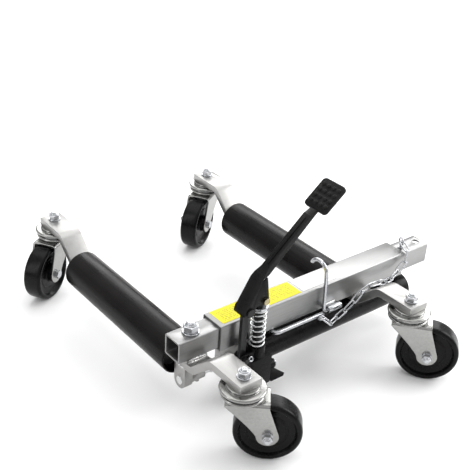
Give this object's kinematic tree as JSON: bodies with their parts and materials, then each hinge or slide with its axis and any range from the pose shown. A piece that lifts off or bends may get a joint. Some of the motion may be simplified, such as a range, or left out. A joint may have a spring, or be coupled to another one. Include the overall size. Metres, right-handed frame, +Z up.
{
  "type": "wheel dolly",
  "caption": "Hydraulic wheel dolly: a telescoping beam carries two rollers on bent axle bars with swivel casters, drawn together by a foot pump.",
  "frame": {"origin": "on the floor, at the middle of the footprint's box", "axes": "+Z up; +X along the telescoping beam, from the sliding (left) axle bar to the fixed (right) one; +Y along the rollers, away from the beam"},
  "size_m": [0.656, 0.7286, 0.3802],
  "materials": {
    "beam_zinc": "bright zinc plate, satin",
    "fastener_zinc": "bright zinc plate",
    "caster_zinc": "polished zinc plate",
    "roller_black": "semi-gloss black paint",
    "pump_black": "gloss black paint",
    "pedal_black": "satin black paint",
    "wheel_black": "satin moulded polymer",
    "strap_black": "black oxide",
    "nylon": "natural nylon",
    "bush_steel": "turned steel",
    "rod_chrome": "hard chrome, polished",
    "seal_polyurethane": "matt",
    "piston_bronze": "turned",
    "yellow_zinc": "yellow chromate zinc",
    "label_yellow": "printed vinyl",
    "label_white": "printed vinyl",
    "spring_steel": "zinc plated spring steel"
  },
  "bodies": {
    "beam": {"outer_tube": "beam_zinc", "right_axle_bar": "beam_zinc", "right_roller_bushes": "nylon", "right_caster_races": "caster_zinc", "right_kingpins": "fastener_zinc", "cylinder_barrel": "pump_black", "cylinder_cap": "pump_black", "pump_block": "pump_black", "flange_plate": "beam_zinc", "gland_seal": "seal_polyurethane", "link_bar": "strap_black", "link_pins": "fastener_zinc", "link_cotter": "fastener_zinc", "hook_sleeve": "fastener_zinc", "guide_rod": "fastener_zinc", "split_pin": "fastener_zinc", "chain": "fastener_zinc", "yellow_label": "label_yellow", "white_label": "label_white"},
    "slider": {"inner_tube": "beam_zinc", "clamp_stud": "fastener_zinc", "clamp_nut": "fastener_zinc", "beam_spacer": "beam_zinc", "left_axle_bar": "beam_zinc", "left_roller_bushes": "nylon", "left_caster_races": "caster_zinc", "left_kingpins": "fastener_zinc", "rod_lug": "beam_zinc", "rod_coupling": "fastener_zinc", "piston_rod": "rod_chrome", "piston": "piston_bronze"},
    "left_roller": {"left_roller": "roller_black"},
    "right_roller": {"right_roller": "roller_black"},
    "pedal": {"pedal_arm": "pedal_black", "pedal_pad": "pedal_black", "plunger_pin": "yellow_zinc"},
    "plunger": {"plunger": "spring_steel", "spring_cap": "fastener_zinc", "plunger_spring": "spring_steel"},
    "release": {"release_spindle": "fastener_zinc", "release_pedal": "pump_black"},
    "hook": {"pedal_hook": "fastener_zinc"},
    "lock": {"lock_pin": "fastener_zinc", "lock_ring": "fastener_zinc"},
    "near_left_swivel": {"near_left_fork": "caster_zinc", "near_left_axle": "fastener_zinc"},
    "near_left_wheel": {"near_left_wheel": "wheel_black", "near_left_bush": "bush_steel"},
    "near_right_swivel": {"near_right_fork": "caster_zinc", "near_right_axle": "fastener_zinc"},
    "near_right_wheel": {"near_right_wheel": "wheel_black", "near_right_bush": "bush_steel"},
    "far_left_swivel": {"far_left_fork": "caster_zinc", "far_left_axle": "fastener_zinc"},
    "far_left_wheel": {"far_left_wheel": "wheel_black", "far_left_bush": "bush_steel"},
    "far_right_swivel": {"far_right_fork": "caster_zinc", "far_right_axle": "fastener_zinc"},
    "far_right_wheel": {"far_right_wheel": "wheel_black", "far_right_bush": "bush_steel"}
  },
  "joints": [
    {"name": "beam_slide", "type": "slide", "parent": "beam", "child": "slider", "axis": [1, 0, 0], "range_m": [-0.01, 0.012], "deforming": ["chain"]},
    {"name": "left_roller_spin", "type": "hinge", "parent": "slider", "child": "left_roller", "pos_m": [-0.23499, 0.05177, 0.091], "axis": [0, 1, 0], "continuous": true},
    {"name": "right_roller_spin", "type": "hinge", "parent": "beam", "child": "right_roller", "pos_m": [0.14601, 0.05177, 0.091], "axis": [0, 1, 0], "continuous": true},
    {"name": "near_left_caster_swivel", "type": "hinge", "parent": "slider", "child": "near_left_swivel", "pos_m": [-0.23499, -0.27823, 0.12], "axis": [0, 0, 1], "continuous": true},
    {"name": "near_left_wheel_spin", "type": "hinge", "parent": "near_left_swivel", "child": "near_left_wheel", "pos_m": [-0.20179, -0.3071, 0.056], "axis": [0.6561, 0.7547, 0], "continuous": true},
    {"name": "near_right_caster_swivel", "type": "hinge", "parent": "beam", "child": "near_right_swivel", "pos_m": [0.14601, -0.27823, 0.12], "axis": [0, 0, 1], "continuous": true},
    {"name": "near_right_wheel_spin", "type": "hinge", "parent": "near_right_swivel", "child": "near_right_wheel", "pos_m": [0.17429, -0.31193, 0.056], "axis": [0.766, 0.6428, 0], "continuous": true},
    {"name": "far_left_caster_swivel", "type": "hinge", "parent": "slider", "child": "far_left_swivel", "pos_m": [-0.23499, 0.32577, 0.12], "axis": [0, 0, 1], "continuous": true},
    {"name": "far_left_wheel_spin", "type": "hinge", "parent": "far_left_swivel", "child": "far_left_wheel", "pos_m": [-0.27271, 0.30311, 0.056], "axis": [0.515, -0.8572, 0], "continuous": true},
    {"name": "far_right_caster_swivel", "type": "hinge", "parent": "beam", "child": "far_right_swivel", "pos_m": [0.14601, 0.32577, 0.12], "axis": [0, 0, 1], "continuous": true},
    {"name": "far_right_wheel_spin", "type": "hinge", "parent": "far_right_swivel", "child": "far_right_wheel", "pos_m": [0.1079, 0.30377, 0.056], "axis": [0.5, -0.866, 0], "continuous": true},
    {"name": "pedal_hinge", "type": "hinge", "parent": "beam", "child": "pedal", "pos_m": [-0.15999, -0.18323, 0.197], "axis": [0, 1, 0], "range_deg": [0, 43]},
    {"name": "plunger_slide", "type": "slide", "parent": "beam", "child": "plunger", "axis": [0, 0, -1], "range_m": [0, 0.0252], "stiffness_N_per_m": 800, "springref_m": -0.05, "deforming": ["plunger_spring"]},
    {"name": "release_hinge", "type": "hinge", "parent": "beam", "child": "release", "pos_m": [-0.09699, -0.18023, 0.052], "axis": [1, 0, 0], "range_deg": [0, 15], "stiffness_Nm_per_rad": 2, "springref_deg": -11.46},
    {"name": "hook_hinge", "type": "hinge", "parent": "beam", "child": "hook", "pos_m": [0.05501, -0.17523, 0.1135], "axis": [1, 0, 0], "range_deg": [0, 70]},
    {"name": "lock_pin_slide", "type": "slide", "parent": "slider", "child": "lock", "axis": [0, 0, 1], "range_m": [0, 0.065], "deforming": ["chain"]}
  ],
  "couplings": [
    {"joint": "plunger_slide", "follows": "pedal_hinge", "m_per_rad": 0.033}
  ]
}
